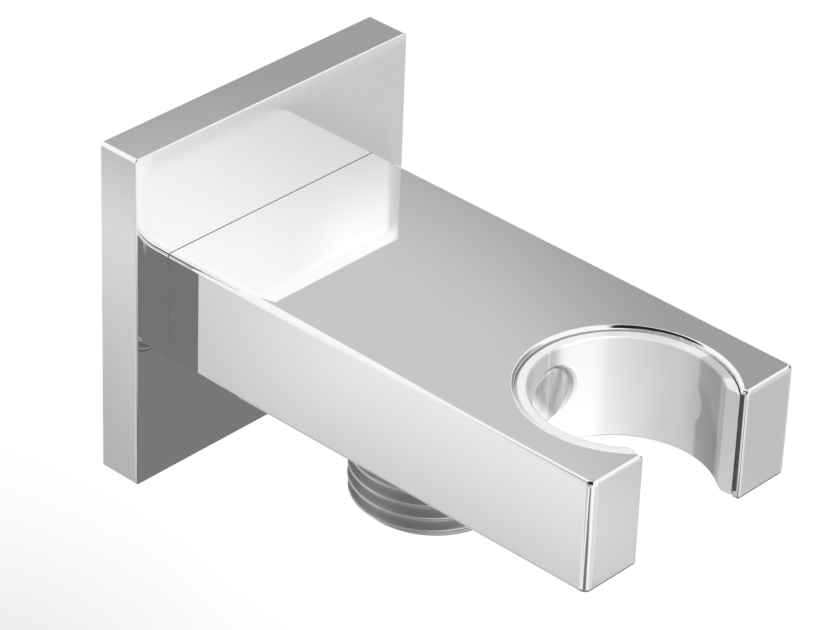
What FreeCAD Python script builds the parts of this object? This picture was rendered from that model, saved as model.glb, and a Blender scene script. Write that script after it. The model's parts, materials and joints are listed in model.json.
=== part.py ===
import FreeCAD, Part
import math
import os

from FreeCAD import Vector

# Wall outlet and hand shower holder: a square wall plate, a bar with a clamp cup at its front end,
# a threaded hose outlet under the bar and a check valve inside the outlet. Millimetres.
# X is to the right when facing the wall, +Y goes into the wall and +Z is up.
# The origin is where the inlet axis crosses the wall, which is the plate's back face.

# Wall plate
PLATE_SIZE = 46.0
PLATE_THICKNESS = 6.0
PLATE_DROP = 0.6
PLATE_FRONT_WALL = 2.6
PLATE_SIDE_WALL = 2.6
PLATE_CORNER_RADIUS = 0.4
PLATE_EDGE_RADIUS = 0.2
GASKET_WIDTH = 2.6
GASKET_DEPTH = 1.0
GASKET_SEAT = 1.3

# Bar
ARM_WIDTH = 35.5
ARM_HEIGHT = 15.0
ARM_EDGE_RADIUS = 0.5
ARM_CORNER_RADIUS = 1.0
SLOT_EDGE_RADIUS = 0.3
JOINT_GAP = 0.08
JOINT_DEPTH = 0.5
OUTLET_DISTANCE = 34.0
OUTLET_TO_CUP = 29.2
CUP_TO_FRONT = 10.3

# Clamp cup and its clear liner
LINER_BORE_RADIUS = 11.45
LINER_WALL = 1.5
LINER_CLEARANCE = 0.05
LINER_TOP_INSET = 0.4
LINER_BOTTOM_INSET = 0.6
LINER_EDGE = 0.3
LINER_HOLE_CHAMFER = 0.25
SLOT_WIDTH = 18.2
LINER_SLOT_WIDTH = 17.4

# Stud that holds the liner
STUD_HEIGHT = 0.9
STUD_HEAD_RADIUS = 3.45
STUD_HEAD_THICKNESS = 0.45
STUD_HEAD_CHAMFER = 0.2
STUD_HEAD_CLEARANCE = 0.3
STUD_HEAD_RECESS = 0.05
STUD_SHANK_RADIUS = 1.6
STUD_SHANK_CLEARANCE = 0.1
STUD_DEPTH = 4.0

# Waterway in the bar
SPIGOT_RADIUS = 4.75
SPIGOT_CLEARANCE = 0.1
SPIGOT_BORE_RADIUS = 3.0
SOCKET_WEB = 2.0
CHANNEL_RADIUS = 3.0
PORT_RADIUS = 8.0
PORT_DEPTH = 4.5
CHAMBER_RADIUS = 6.2
CHAMBER_ROOF = 3.0
OUTLET_SEAL_THICKNESS = 1.0
OUTLET_SEAL_WIDTH = 1.7

# Half-inch pipe thread, at the hose as parallel ridges in place of its helix, at the wall as a plain cylinder
THREAD_RADIUS = 20.955 / 2
THREAD_DEPTH = 1.162
THREAD_PITCH = 1.814
THREAD_LAND = 0.302
WALL_THREAD_LENGTH = 14.0
HOSE_THREAD_LENGTH = 14.0

# Wall nipple
COLLAR_ACROSS_FLATS = 24.0
COLLAR_THICKNESS = 2.5
COLLAR_SETBACK = 0.4
WALL_KEY_ACROSS_FLATS = 10.0
WALL_KEY_DEPTH = 8.0
SPIGOT_CHAMFER = 0.5
SPIGOT_END_GAP = 0.8
SPIGOT_HOLE_CLEARANCE = 0.6
NIPPLE_RING_DEPTH = 0.9
NIPPLE_RING_WIDTH = 1.6
NIPPLE_RING_PITCH = 3.4
NIPPLE_RING_SETBACK = 2.2
RING_CHAMFER_SHARE = 0.28

# Fasteners
PLATE_SCREW_RADIUS = 2.0
PLATE_SCREW_HEAD_RADIUS = 3.7
PLATE_SCREW_HEAD_SETBACK = 0.1
PLATE_SCREW_HOLE_CLEARANCE = 0.2
PLATE_SCREW_INSET = 5.25
PLATE_SCREW_DEPTH = 9.0
PLATE_SCREW_KEY = 2.5
PLATE_SCREW_KEY_DEPTH = 1.4
PLATE_SCREW_END_GAP = 1.0
LOCK_SCREW_RADIUS = 2.0
LOCK_SCREW_TIP_RADIUS = 0.8
LOCK_SCREW_SETBACK = 6.0
LOCK_SCREW_RECESS = 0.2
LOCK_SCREW_KEY = 2.0
LOCK_SCREW_KEY_DEPTH = 1.5
LOCK_GROOVE_DEPTH = 0.6
LOCK_GROOVE_HALF_WIDTH = 1.0
LOCK_TIP_GAP = 0.05

# Hose nipple
VALVE_BORE_RADIUS = 6.6
NIPPLE_SHOULDER = 2.0
NIPPLE_KEY = 10.4
FLANGE_RADIUS = 7.2
FLANGE_CLEARANCE = 0.1
FLANGE_THICKNESS = 0.9
FLANGE_RECESS = 0.3

# Check valve cartridge
HOUSING_CLEARANCE = 0.1
HOUSING_BORE_RADIUS = 4.95
SEAT_RADIUS = 3.5
SEAT_THICKNESS = 1.5
HOUSING_RING_DEPTH = 0.6
HOUSING_RING_WIDTH = 1.2
HOUSING_RING_DROP = 3.4
RING_SIDE_GAP = 0.1
GUIDE_RADIUS = 5.3
GUIDE_THICKNESS = 2.0
GUIDE_RIM = 0.8
GUIDE_RIB_WIDTH = 1.0
GUIDE_RIBS = 3
GUIDE_HEIGHT = 1.8
HUB_RADIUS = 2.6
HUB_RISE = 1.0
STEM_RADIUS = 1.0
STEM_CLEARANCE = 0.08
STEM_OVERRUN = 0.6
POPPET_RADIUS = 3.95
POPPET_THICKNESS = 1.0
POPPET_NECK_RADIUS = 2.2
POPPET_CAP_RADIUS = 2.8
POPPET_CAP_THICKNESS = 0.7
POPPET_SEAL_RADIUS = 4.15
POPPET_SEAL_THICKNESS = 0.8
SEAL_GAP = 0.1
SPRING_RADIUS = 1.9
SPRING_WIRE_RADIUS = 0.22
SPRING_WIRE_SIDES = 6
SPRING_TURNS = 5.0

# Places worked out from the sizes above
ARM_REAR = -PLATE_THICKNESS
OUTLET_Y = -OUTLET_DISTANCE
CUP_Y = OUTLET_Y - OUTLET_TO_CUP
ARM_FRONT = CUP_Y - CUP_TO_FRONT
ARM_TOP = ARM_HEIGHT / 2
ARM_BOTTOM = -ARM_HEIGHT / 2
LINER_OUTER_RADIUS = LINER_BORE_RADIUS + LINER_WALL
CUP_RADIUS = LINER_OUTER_RADIUS + LINER_CLEARANCE
PLATE_BACK_DEPTH = PLATE_THICKNESS - PLATE_FRONT_WALL
SOCKET_RADIUS = SPIGOT_RADIUS + SPIGOT_CLEARANCE
SOCKET_END = OUTLET_Y + PORT_RADIUS + SOCKET_WEB
SPIGOT_END = SOCKET_END + SPIGOT_END_GAP
NIPPLE_RING_PLACES = [SPIGOT_END + NIPPLE_RING_SETBACK, SPIGOT_END + NIPPLE_RING_SETBACK + NIPPLE_RING_PITCH]
LOCK_SCREW_Y = ARM_REAR - LOCK_SCREW_SETBACK
PLATE_SCREW_X = ARM_WIDTH / 2 - PLATE_SCREW_INSET
PORT_TOP = ARM_BOTTOM + PORT_DEPTH
CHAMBER_BOTTOM = PORT_TOP + OUTLET_SEAL_THICKNESS
CHAMBER_TOP = ARM_TOP - CHAMBER_ROOF
CHANNEL_Z = (CHAMBER_BOTTOM + CHAMBER_TOP) / 2
THREAD_ROOT_RADIUS = THREAD_RADIUS - THREAD_DEPTH
THREAD_FLANK = THREAD_PITCH / 2 - THREAD_LAND
OUTLET_END = ARM_BOTTOM - HOSE_THREAD_LENGTH
CARTRIDGE_TOP = PORT_TOP - NIPPLE_SHOULDER
CARTRIDGE_END = OUTLET_END + FLANGE_RECESS
FLANGE_TOP = CARTRIDGE_END + FLANGE_THICKNESS
HOUSING_RADIUS = VALVE_BORE_RADIUS - HOUSING_CLEARANCE
SEAT_FACE = CARTRIDGE_TOP - SEAT_THICKNESS
SEAL_TOP = SEAT_FACE - SEAL_GAP
SEAL_BOTTOM = SEAL_TOP - POPPET_SEAL_THICKNESS
POPPET_BOTTOM = SEAL_BOTTOM - POPPET_THICKNESS
GUIDE_BOTTOM = CARTRIDGE_END + GUIDE_HEIGHT
GUIDE_TOP = GUIDE_BOTTOM + GUIDE_THICKNESS
HUB_TOP = GUIDE_TOP + HUB_RISE
STEM_END = GUIDE_BOTTOM + STEM_OVERRUN
STUD_FACE = LINER_BORE_RADIUS + STUD_HEAD_RECESS
STUD_SEAT = STUD_FACE + STUD_HEAD_THICKNESS

UP = Vector(0, 0, 1)
INTO_WALL = Vector(0, 1, 0)
TOLERANCE = 1e-6
BRIM_SAMPLES = 9
BRIM_TOLERANCE = 1e-3
HEXAGON_SIDES = 6
OVERSHOOT = 1.0


def box(x_range, y_range, z_range):
    """A block between two values along each axis."""
    size = [high - low for low, high in (x_range, y_range, z_range)]
    return Part.makeBox(*size, Vector(x_range[0], y_range[0], z_range[0]))


def upright(radius, x, y, bottom, top):
    """A cylinder that stands along Z."""
    return Part.makeCylinder(radius, top - bottom, Vector(x, y, bottom), UP)


def along_y(radius, x, z, start, end):
    """A cylinder that lies along Y, from the lower to the higher value of Y."""
    return Part.makeCylinder(radius, end - start, Vector(x, start, z), INTO_WALL)


def turned(profile, lying=False):
    """Revolve a closed profile of (radius, height) points about Z, or about Y when lying."""
    points = [Vector(radius, 0, height) for radius, height in profile]
    face = Part.Face(Part.makePolygon(points + points[:1]))
    solid = face.revolve(Vector(0, 0, 0), UP, 360)
    if lying:
        solid.rotate(Vector(0, 0, 0), Vector(1, 0, 0), -90)
    return solid


def polygon(corner_radius, sides):
    """The corners of a regular polygon about Z, the first one towards +X, closed."""
    angles = [2 * math.pi * i / sides for i in range(sides)]
    points = [Vector(corner_radius * math.cos(a), corner_radius * math.sin(a), 0) for a in angles]
    return points + points[:1]


def hexagon(across_flats, length, start, direction):
    """A six-sided prism whose first corner points to +X."""
    corners = polygon(across_flats / math.sqrt(3), HEXAGON_SIDES)
    prism = Part.Face(Part.makePolygon(corners)).extrude(Vector(0, 0, length))
    prism.Placement = FreeCAD.Placement(start, FreeCAD.Rotation(UP, direction))
    return prism


def upright_edges(solid, keep):
    """The straight edges along Z whose place (x, y) passes the test."""
    chosen = []
    for edge in solid.Edges:
        first, last = edge.Vertexes[0].Point, edge.Vertexes[-1].Point
        straight = abs(first.x - last.x) < TOLERANCE and abs(first.y - last.y) < TOLERANCE
        if straight and abs(first.z - last.z) > TOLERANCE and keep(first.x, first.y):
            chosen.append(edge)
    return chosen


def sealing_ring(inner, outer, bottom, top):
    """A squeezed sealing ring: a four-sided section with its corners cut off."""
    cut = (top - bottom) * RING_CHAMFER_SHARE
    return turned([
        (inner, bottom + cut),
        (inner + cut, bottom),
        (outer - cut, bottom),
        (outer, bottom + cut),
        (outer, top - cut),
        (outer - cut, top),
        (inner + cut, top),
        (inner, top - cut),
    ])


def thread_profile(start, end):
    """Half section of a pipe thread from start to end: flat-topped ridges, then a nose of the root's radius."""
    way = math.copysign(1, end - start)
    grooves = int((abs(end - start) - THREAD_LAND - THREAD_FLANK) / THREAD_PITCH)
    profile = [(THREAD_RADIUS, start)]
    for i in range(grooves + 1):
        crest_end = start + way * (i * THREAD_PITCH + THREAD_LAND)
        root = crest_end + way * THREAD_FLANK
        profile += [(THREAD_RADIUS, crest_end), (THREAD_ROOT_RADIUS, root)]
        if i < grooves:
            root_end = root + way * THREAD_LAND
            profile += [(THREAD_ROOT_RADIUS, root_end), (THREAD_RADIUS, root_end + way * THREAD_FLANK)]
    return profile + [(THREAD_ROOT_RADIUS, end)]


def wall_plate():
    """Square cover: a shallow tray open towards the wall, with the spigot hole and two screw holes."""
    half = PLATE_SIZE / 2
    low, high = -PLATE_DROP - half, -PLATE_DROP + half
    plate = box((-half, half), (-PLATE_THICKNESS, 0), (low, high))
    corners = [e for e in plate.Edges if e.BoundBox.YLength > PLATE_THICKNESS / 2]
    plate = plate.makeFillet(PLATE_CORNER_RADIUS, corners)
    rim = [e for e in plate.Edges if e.BoundBox.YMax < -PLATE_THICKNESS + TOLERANCE]
    plate = plate.makeFillet(PLATE_EDGE_RADIUS, rim)
    inset = PLATE_SIDE_WALL
    tray = box((-half + inset, half - inset), (-PLATE_BACK_DEPTH, OVERSHOOT), (low + inset, high - inset))
    seat = box(
        (-half + GASKET_SEAT, half - GASKET_SEAT),
        (-GASKET_DEPTH, OVERSHOOT),
        (low + GASKET_SEAT, high - GASKET_SEAT),
    )
    front = -PLATE_THICKNESS - OVERSHOOT
    hole = along_y(SPIGOT_RADIUS + SPIGOT_HOLE_CLEARANCE, 0, 0, front, OVERSHOOT)
    plate = plate.cut(tray).cut(seat).cut(hole)
    for side in (-1, 1):
        plate = plate.cut(plate_screw_cone(side, PLATE_SCREW_HOLE_CLEARANCE, front, OVERSHOOT))
    return plate


def wall_gasket():
    """Square seal in the rebate round the plate's back, flush with the wall."""
    half = PLATE_SIZE / 2 - GASKET_SEAT
    inner = half - GASKET_WIDTH
    ring = box((-half, half), (-GASKET_DEPTH, 0), (-PLATE_DROP - half, -PLATE_DROP + half))
    depth = (-GASKET_DEPTH - OVERSHOOT, OVERSHOOT)
    return ring.cut(box((-inner, inner), depth, (-PLATE_DROP - inner, -PLATE_DROP + inner)))


def plate_screw_cone(side, clearance, front, back):
    """The countersunk head and the shank between two places along Y, larger by a clearance for the plate's hole."""
    head_back = -PLATE_BACK_DEPTH - PLATE_SCREW_HEAD_SETBACK
    slope = PLATE_SCREW_HEAD_RADIUS - PLATE_SCREW_RADIUS
    profile = [
        (0, front),
        (PLATE_SCREW_RADIUS + clearance, front),
        (PLATE_SCREW_RADIUS + clearance, head_back - slope),
        (PLATE_SCREW_HEAD_RADIUS + clearance, head_back),
    ]
    if back > head_back:
        profile.append((PLATE_SCREW_HEAD_RADIUS + clearance, back))
    profile.append((0, back))
    cone = turned(profile, lying=True)
    cone.translate(Vector(side * PLATE_SCREW_X, 0, 0))
    return cone


def plate_screw(side):
    """Countersunk screw from behind the plate into the bar's rear face, with a hexagon socket."""
    head_back = -PLATE_BACK_DEPTH - PLATE_SCREW_HEAD_SETBACK
    screw = plate_screw_cone(side, 0, ARM_REAR - PLATE_SCREW_DEPTH, head_back)
    key_start = Vector(side * PLATE_SCREW_X, head_back + OVERSHOOT, 0)
    return screw.cut(hexagon(PLATE_SCREW_KEY, PLATE_SCREW_KEY_DEPTH + OVERSHOOT, key_start, -INTO_WALL))


def arm_outline():
    """The bar with its cup and slot, all edges rounded but those that meet the plate."""
    half = ARM_WIDTH / 2
    block = box((-half, half), (ARM_FRONT, ARM_REAR), (ARM_BOTTOM, ARM_TOP))
    corners = upright_edges(block, lambda x, y: y < ARM_FRONT + TOLERANCE)
    block = block.makeFillet(ARM_CORNER_RADIUS, corners)
    through = (ARM_BOTTOM - OVERSHOOT, ARM_TOP + OVERSHOOT)
    cup = upright(CUP_RADIUS, 0, CUP_Y, *through)
    slot = box((-SLOT_WIDTH / 2, SLOT_WIDTH / 2), (ARM_FRONT - OVERSHOOT, CUP_Y), through)
    block = block.cut(cup.fuse(slot).removeSplitter())
    lips = upright_edges(block, lambda x, y: abs(abs(x) - SLOT_WIDTH / 2) < TOLERANCE)
    block = block.makeFillet(SLOT_EDGE_RADIUS, lips)
    rims = []
    for edge in block.Edges:
        bounds = edge.BoundBox
        level = bounds.ZLength < TOLERANCE and abs(abs(bounds.Center.z) - ARM_TOP) < TOLERANCE
        if level and bounds.YMin < ARM_REAR - TOLERANCE:
            rims.append(edge)
    return block.makeFillet(ARM_EDGE_RADIUS, rims)


def joint_groove():
    """The hairline joint between the bar and the plate: a shallow step round the bar's rear face."""
    half = ARM_WIDTH / 2
    depth = (ARM_REAR - JOINT_GAP, ARM_REAR + OVERSHOOT)
    reach, land = half + OVERSHOOT, half - JOINT_DEPTH
    outer = box((-reach, reach), depth, (ARM_BOTTOM - OVERSHOOT, ARM_TOP + OVERSHOOT))
    return outer.cut(box((-land, land), depth, (ARM_BOTTOM + JOINT_DEPTH, ARM_TOP - JOINT_DEPTH)))


def arm():
    """The bar: clamp cup at the front, spigot socket at the rear, outlet port underneath."""
    bar = arm_outline().cut(joint_groove())
    socket = along_y(SOCKET_RADIUS, 0, 0, SOCKET_END, ARM_REAR + OVERSHOOT)
    channel = along_y(CHANNEL_RADIUS, 0, CHANNEL_Z, OUTLET_Y, SOCKET_END + OVERSHOOT)
    port = upright(PORT_RADIUS, 0, OUTLET_Y, ARM_BOTTOM - OVERSHOOT, CHAMBER_BOTTOM)
    chamber = upright(CHAMBER_RADIUS, 0, OUTLET_Y, CHAMBER_BOTTOM - OVERSHOOT, CHAMBER_TOP)
    lock = upright(LOCK_SCREW_RADIUS, 0, LOCK_SCREW_Y, ARM_BOTTOM - OVERSHOOT, 0)
    stud_start = CUP_Y + CUP_RADIUS
    stud = along_y(STUD_SHANK_RADIUS, 0, STUD_HEIGHT, CUP_Y, stud_start + STUD_DEPTH)
    for hollow in (socket, channel, port, chamber, lock, stud):
        bar = bar.cut(hollow)
    for side in (-1, 1):
        x = side * PLATE_SCREW_X
        screw_end = ARM_REAR - PLATE_SCREW_DEPTH - PLATE_SCREW_END_GAP
        bar = bar.cut(along_y(PLATE_SCREW_RADIUS, x, 0, screw_end, ARM_REAR + OVERSHOOT))
    return bar


def is_recess_brim(edge):
    """True for the edges where the stud's recess meets the liner's bore."""
    centre = Vector(0, LINER_BORE_RADIUS, STUD_HEIGHT)
    radius = STUD_HEAD_RADIUS + STUD_HEAD_CLEARANCE
    for point in edge.discretize(BRIM_SAMPLES):
        on_bore = abs(math.hypot(point.x, point.y) - LINER_BORE_RADIUS) < BRIM_TOLERANCE
        around = abs(math.hypot(point.x, point.z - centre.z) - radius) < BRIM_TOLERANCE
        if point.y < 0 or not on_bore or not around:
            return False
    return True


def cup_liner():
    """Clear C-shaped liner of the cup, with a round recess at the back for the stud's head."""
    bottom, top = ARM_BOTTOM + LINER_BOTTOM_INSET, ARM_TOP - LINER_TOP_INSET
    ring = turned([
        (LINER_BORE_RADIUS, bottom + LINER_EDGE),
        (LINER_BORE_RADIUS + LINER_EDGE, bottom),
        (LINER_OUTER_RADIUS - LINER_EDGE, bottom),
        (LINER_OUTER_RADIUS, bottom + LINER_EDGE),
        (LINER_OUTER_RADIUS, top - LINER_EDGE),
        (LINER_OUTER_RADIUS - LINER_EDGE, top),
        (LINER_BORE_RADIUS + LINER_EDGE / 2, top),
        (LINER_BORE_RADIUS, top - LINER_EDGE / 2),
    ])
    mouth = LINER_SLOT_WIDTH / 2
    reach = LINER_OUTER_RADIUS + OVERSHOOT
    ring = ring.cut(box((-mouth, mouth), (-reach, 0), (bottom - OVERSHOOT, top + OVERSHOOT)))
    recess = along_y(STUD_HEAD_RADIUS + STUD_HEAD_CLEARANCE, 0, STUD_HEIGHT, 0, STUD_SEAT)
    hole = along_y(STUD_SHANK_RADIUS + STUD_SHANK_CLEARANCE, 0, STUD_HEIGHT, 0, reach)
    ring = ring.cut(recess)
    brim = [e for e in ring.Edges if is_recess_brim(e)]
    ring = ring.makeChamfer(LINER_HOLE_CHAMFER, brim).cut(hole)
    ring.translate(Vector(0, CUP_Y, 0))
    return ring


def liner_stud():
    """Pressed stud with a smooth flat head that holds the liner in the cup."""
    end = CUP_RADIUS + STUD_DEPTH
    profile = [
        (0, STUD_FACE),
        (STUD_HEAD_RADIUS - STUD_HEAD_CHAMFER, STUD_FACE),
        (STUD_HEAD_RADIUS, STUD_FACE + STUD_HEAD_CHAMFER),
        (STUD_HEAD_RADIUS, STUD_SEAT),
        (STUD_SHANK_RADIUS, STUD_SEAT),
        (STUD_SHANK_RADIUS, end),
        (0, end),
    ]
    stud = turned(profile, lying=True)
    stud.translate(Vector(0, CUP_Y, STUD_HEIGHT))
    return stud


def wall_nipple():
    """Nipple from the wall's fitting to the bar: pipe thread, hexagon collar, spigot with ring grooves."""
    groove = SPIGOT_RADIUS - NIPPLE_RING_DEPTH
    profile = [
        (SPIGOT_BORE_RADIUS, SPIGOT_END),
        (SPIGOT_RADIUS - SPIGOT_CHAMFER, SPIGOT_END),
        (SPIGOT_RADIUS, SPIGOT_END + SPIGOT_CHAMFER),
    ]
    for place in NIPPLE_RING_PLACES:
        low, high = place - NIPPLE_RING_WIDTH / 2, place + NIPPLE_RING_WIDTH / 2
        profile += [(SPIGOT_RADIUS, low), (groove, low), (groove, high), (SPIGOT_RADIUS, high)]
    lock_floor = SPIGOT_RADIUS - LOCK_GROOVE_DEPTH
    lock_mouth = LOCK_GROOVE_HALF_WIDTH + LOCK_GROOVE_DEPTH
    profile += [
        (SPIGOT_RADIUS, LOCK_SCREW_Y - lock_mouth),
        (lock_floor, LOCK_SCREW_Y - LOCK_GROOVE_HALF_WIDTH),
        (lock_floor, LOCK_SCREW_Y + LOCK_GROOVE_HALF_WIDTH),
        (SPIGOT_RADIUS, LOCK_SCREW_Y + lock_mouth),
        (SPIGOT_RADIUS, -COLLAR_SETBACK),
        (THREAD_RADIUS, -COLLAR_SETBACK),
        (THREAD_RADIUS, WALL_THREAD_LENGTH - THREAD_DEPTH),
        (THREAD_ROOT_RADIUS, WALL_THREAD_LENGTH),
        (SPIGOT_BORE_RADIUS, WALL_THREAD_LENGTH),
    ]
    body = turned(profile, lying=True)
    collar_start = Vector(0, -COLLAR_SETBACK - COLLAR_THICKNESS, 0)
    collar = hexagon(COLLAR_ACROSS_FLATS, COLLAR_THICKNESS, collar_start, INTO_WALL)
    collar = collar.cut(along_y(lock_floor, 0, 0, collar_start.y - OVERSHOOT, OVERSHOOT))
    key_start = Vector(0, WALL_THREAD_LENGTH - WALL_KEY_DEPTH, 0)
    key = hexagon(WALL_KEY_ACROSS_FLATS, WALL_KEY_DEPTH + OVERSHOOT, key_start, INTO_WALL)
    return body.fuse(collar).removeSplitter().cut(key)


def nipple_oring(place):
    """Sealing ring in one groove of the spigot, squeezed against the socket."""
    half = NIPPLE_RING_WIDTH / 2 - RING_SIDE_GAP
    inner = SPIGOT_RADIUS - NIPPLE_RING_DEPTH
    ring = sealing_ring(inner, SOCKET_RADIUS, place - half, place + half)
    ring.rotate(Vector(0, 0, 0), Vector(1, 0, 0), -90)
    return ring


def lock_screw():
    """Grub screw in the bar's underside, whose tip holds the bar on the spigot."""
    start = ARM_BOTTOM + LOCK_SCREW_RECESS
    tip = -(SPIGOT_RADIUS - LOCK_GROOVE_DEPTH) - LOCK_TIP_GAP
    cone = LOCK_SCREW_RADIUS - LOCK_SCREW_TIP_RADIUS
    screw = turned([
        (0, start),
        (LOCK_SCREW_RADIUS, start),
        (LOCK_SCREW_RADIUS, tip - cone),
        (LOCK_SCREW_TIP_RADIUS, tip),
        (0, tip),
    ])
    screw.translate(Vector(0, LOCK_SCREW_Y, 0))
    key_start = Vector(0, LOCK_SCREW_Y, start - OVERSHOOT)
    return screw.cut(hexagon(LOCK_SCREW_KEY, LOCK_SCREW_KEY_DEPTH + OVERSHOOT, key_start, UP))


def at_outlet(solid):
    """Move a turned piece from the Z axis to the outlet's axis."""
    solid.translate(Vector(0, OUTLET_Y, 0))
    return solid


def hose_nipple():
    """Outlet nipple: fine thread in the bar, pipe thread for the hose, bore for the check valve."""
    counterbore = FLANGE_RADIUS + FLANGE_CLEARANCE
    nipple = turned([
        (VALVE_BORE_RADIUS, CARTRIDGE_TOP),
        (VALVE_BORE_RADIUS, FLANGE_TOP),
        (counterbore, FLANGE_TOP),
        (counterbore, OUTLET_END),
        *reversed(thread_profile(ARM_BOTTOM, OUTLET_END)),
        (PORT_RADIUS, ARM_BOTTOM),
        (PORT_RADIUS, PORT_TOP),
        (0, PORT_TOP),
        (0, CARTRIDGE_TOP),
    ])
    key_start = Vector(0, 0, CARTRIDGE_TOP - OVERSHOOT)
    return at_outlet(nipple.cut(hexagon(NIPPLE_KEY, NIPPLE_SHOULDER + 2 * OVERSHOOT, key_start, UP)))


def outlet_seal():
    """Flat seal between the hose nipple's top and the port's shoulder."""
    inner = PORT_RADIUS - OUTLET_SEAL_WIDTH
    return at_outlet(turned([
        (inner, PORT_TOP),
        (PORT_RADIUS, PORT_TOP),
        (PORT_RADIUS, CHAMBER_BOTTOM),
        (inner, CHAMBER_BOTTOM),
    ]))


def valve_housing():
    """Cartridge sleeve: seat at the top, ring groove outside, flange at the hose end."""
    ring_top = CARTRIDGE_TOP - HOUSING_RING_DROP
    ring_bottom = ring_top - HOUSING_RING_WIDTH
    groove = HOUSING_RADIUS - HOUSING_RING_DEPTH
    return at_outlet(turned([
        (SEAT_RADIUS, CARTRIDGE_TOP),
        (SEAT_RADIUS, SEAT_FACE),
        (HOUSING_BORE_RADIUS, SEAT_FACE),
        (HOUSING_BORE_RADIUS, GUIDE_TOP),
        (GUIDE_RADIUS, GUIDE_TOP),
        (GUIDE_RADIUS, CARTRIDGE_END),
        (FLANGE_RADIUS, CARTRIDGE_END),
        (FLANGE_RADIUS, FLANGE_TOP),
        (HOUSING_RADIUS, FLANGE_TOP),
        (HOUSING_RADIUS, ring_bottom),
        (groove, ring_bottom),
        (groove, ring_top),
        (HOUSING_RADIUS, ring_top),
        (HOUSING_RADIUS, CARTRIDGE_TOP),
    ]))


def housing_oring():
    """Sealing ring between the cartridge and the hose nipple's bore."""
    top = CARTRIDGE_TOP - HOUSING_RING_DROP - RING_SIDE_GAP
    bottom = top - HOUSING_RING_WIDTH + 2 * RING_SIDE_GAP
    inner = HOUSING_RADIUS - HOUSING_RING_DEPTH
    return at_outlet(sealing_ring(inner, VALVE_BORE_RADIUS, bottom, top))


def valve_guide():
    """Spider at the hose end of the cartridge: rim, ribs and the hub that guides the stem."""
    rim = turned([
        (GUIDE_RADIUS - GUIDE_RIM, GUIDE_BOTTOM),
        (GUIDE_RADIUS, GUIDE_BOTTOM),
        (GUIDE_RADIUS, GUIDE_TOP),
        (GUIDE_RADIUS - GUIDE_RIM, GUIDE_TOP),
    ])
    hub = upright(HUB_RADIUS, 0, 0, GUIDE_BOTTOM, HUB_TOP)
    spider = rim.fuse(hub)
    rib_range = (HUB_RADIUS / 2, GUIDE_RADIUS - GUIDE_RIM / 2)
    for i in range(GUIDE_RIBS):
        rib = box(rib_range, (-GUIDE_RIB_WIDTH / 2, GUIDE_RIB_WIDTH / 2), (GUIDE_BOTTOM, GUIDE_TOP))
        rib.rotate(Vector(0, 0, 0), UP, 90 + 360 * i / GUIDE_RIBS)
        spider = spider.fuse(rib)
    bore = upright(STEM_RADIUS + STEM_CLEARANCE, 0, 0, GUIDE_BOTTOM - OVERSHOOT, HUB_TOP + OVERSHOOT)
    return at_outlet(spider.removeSplitter().cut(bore))


def valve_poppet():
    """Poppet: cap over the seal, backing disc and the stem that slides in the hub."""
    return at_outlet(turned([
        (0, SEAL_TOP + POPPET_CAP_THICKNESS),
        (POPPET_NECK_RADIUS, SEAL_TOP + POPPET_CAP_THICKNESS),
        (POPPET_CAP_RADIUS, SEAL_TOP),
        (POPPET_NECK_RADIUS, SEAL_TOP),
        (POPPET_NECK_RADIUS, SEAL_BOTTOM),
        (POPPET_RADIUS, SEAL_BOTTOM),
        (POPPET_RADIUS, POPPET_BOTTOM),
        (STEM_RADIUS, POPPET_BOTTOM),
        (STEM_RADIUS, STEM_END),
        (0, STEM_END),
    ]))


def poppet_seal():
    """Flat rubber ring on the poppet, which closes against the seat."""
    return at_outlet(turned([
        (POPPET_NECK_RADIUS, SEAL_BOTTOM),
        (POPPET_SEAL_RADIUS, SEAL_BOTTOM),
        (POPPET_SEAL_RADIUS, SEAL_TOP),
        (POPPET_NECK_RADIUS, SEAL_TOP),
    ]))


def valve_spring():
    """Coil spring between the hub and the poppet's disc."""
    low = HUB_TOP + SPRING_WIRE_RADIUS
    height = POPPET_BOTTOM - SPRING_WIRE_RADIUS - low
    helix = Part.makeHelix(height / SPRING_TURNS, height, SPRING_RADIUS)
    section = Part.makePolygon(polygon(SPRING_WIRE_RADIUS, SPRING_WIRE_SIDES))
    section.Placement = FreeCAD.Placement(Vector(SPRING_RADIUS, 0, 0), FreeCAD.Rotation(UP, INTO_WALL))
    spring = Part.Wire(helix).makePipeShell([section], True, True)
    spring.translate(Vector(0, 0, low))
    return at_outlet(spring)


def main():
    nodes = {
        "wall_plate": wall_plate(),
        "wall_gasket": wall_gasket(),
        "plate_screw_left": plate_screw(-1),
        "plate_screw_right": plate_screw(1),
        "arm": arm(),
        "cup_liner": cup_liner(),
        "liner_stud": liner_stud(),
        "wall_nipple": wall_nipple(),
        "nipple_oring_front": nipple_oring(NIPPLE_RING_PLACES[0]),
        "nipple_oring_rear": nipple_oring(NIPPLE_RING_PLACES[1]),
        "lock_screw": lock_screw(),
        "hose_nipple": hose_nipple(),
        "outlet_seal": outlet_seal(),
        "valve_housing": valve_housing(),
        "housing_oring": housing_oring(),
        "valve_guide": valve_guide(),
        "valve_poppet": valve_poppet(),
        "poppet_seal": poppet_seal(),
        "valve_spring": valve_spring(),
    }
    os.makedirs("parts", exist_ok=True)
    for name, shape in nodes.items():
        print(name, "solids", len(shape.Solids), "valid", shape.isValid(), "volume", round(shape.Volume, 1))
        shape.exportStep("parts/" + name + ".step")


main()
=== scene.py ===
import json
import math

import bmesh
import bpy
from mathutils import Matrix, Vector


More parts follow.
